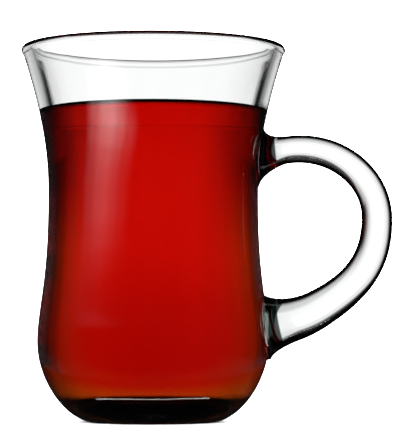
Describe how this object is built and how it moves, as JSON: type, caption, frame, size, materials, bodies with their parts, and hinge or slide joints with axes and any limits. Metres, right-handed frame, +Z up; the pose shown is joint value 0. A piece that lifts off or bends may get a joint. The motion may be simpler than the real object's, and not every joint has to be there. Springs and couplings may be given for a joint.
{
  "type": "turkish tea glass",
  "caption": "Waisted clear tea glass with a flared rim, thick base and fused round side handle, filled with red black tea.",
  "frame": {"origin": "centre of the flat underside, on the cup's axis", "axes": "+Z up along the cup's axis, +X towards the handle, +Y across the handle"},
  "size_m": [0.0986, 0.0702, 0.0998],
  "materials": {
    "clear_glass": "clear, smooth and fire-polished",
    "red_tea": "clear deep red liquid"
  },
  "bodies": {
    "root": {"glass": "clear_glass", "tea": "red_tea"}
  },
  "joints": []
}
